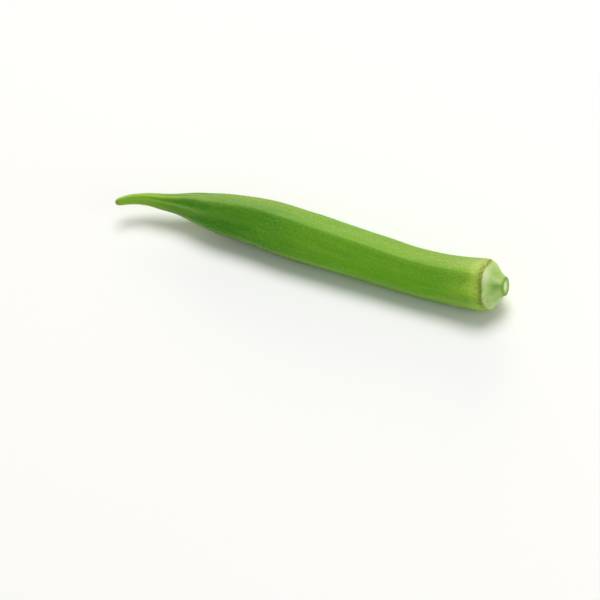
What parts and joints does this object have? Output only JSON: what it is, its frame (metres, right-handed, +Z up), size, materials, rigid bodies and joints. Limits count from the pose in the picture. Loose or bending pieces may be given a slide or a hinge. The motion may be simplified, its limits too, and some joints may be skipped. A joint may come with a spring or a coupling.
{
  "type": "okra pod",
  "caption": "Fresh whole okra pod with ridged, gently bowed sides, a thin curved beak, a raised brownish calyx scar, a pale domed cap and a short cut stem.",
  "frame": {"origin": "on the surface the pod lies on, under the middle of its bounding box", "axes": "+X along the pod towards its cut stem, -X towards the beak, +Z up from the surface it lies on, +Y to the left of +X"},
  "size_m": [0.1298, 0.0206, 0.016],
  "materials": {
    "skin": "fresh green plant skin with a low waxy gloss and short pale fuzz"
  },
  "bodies": {
    "root": {"okra_pod": "skin"}
  },
  "joints": []
}
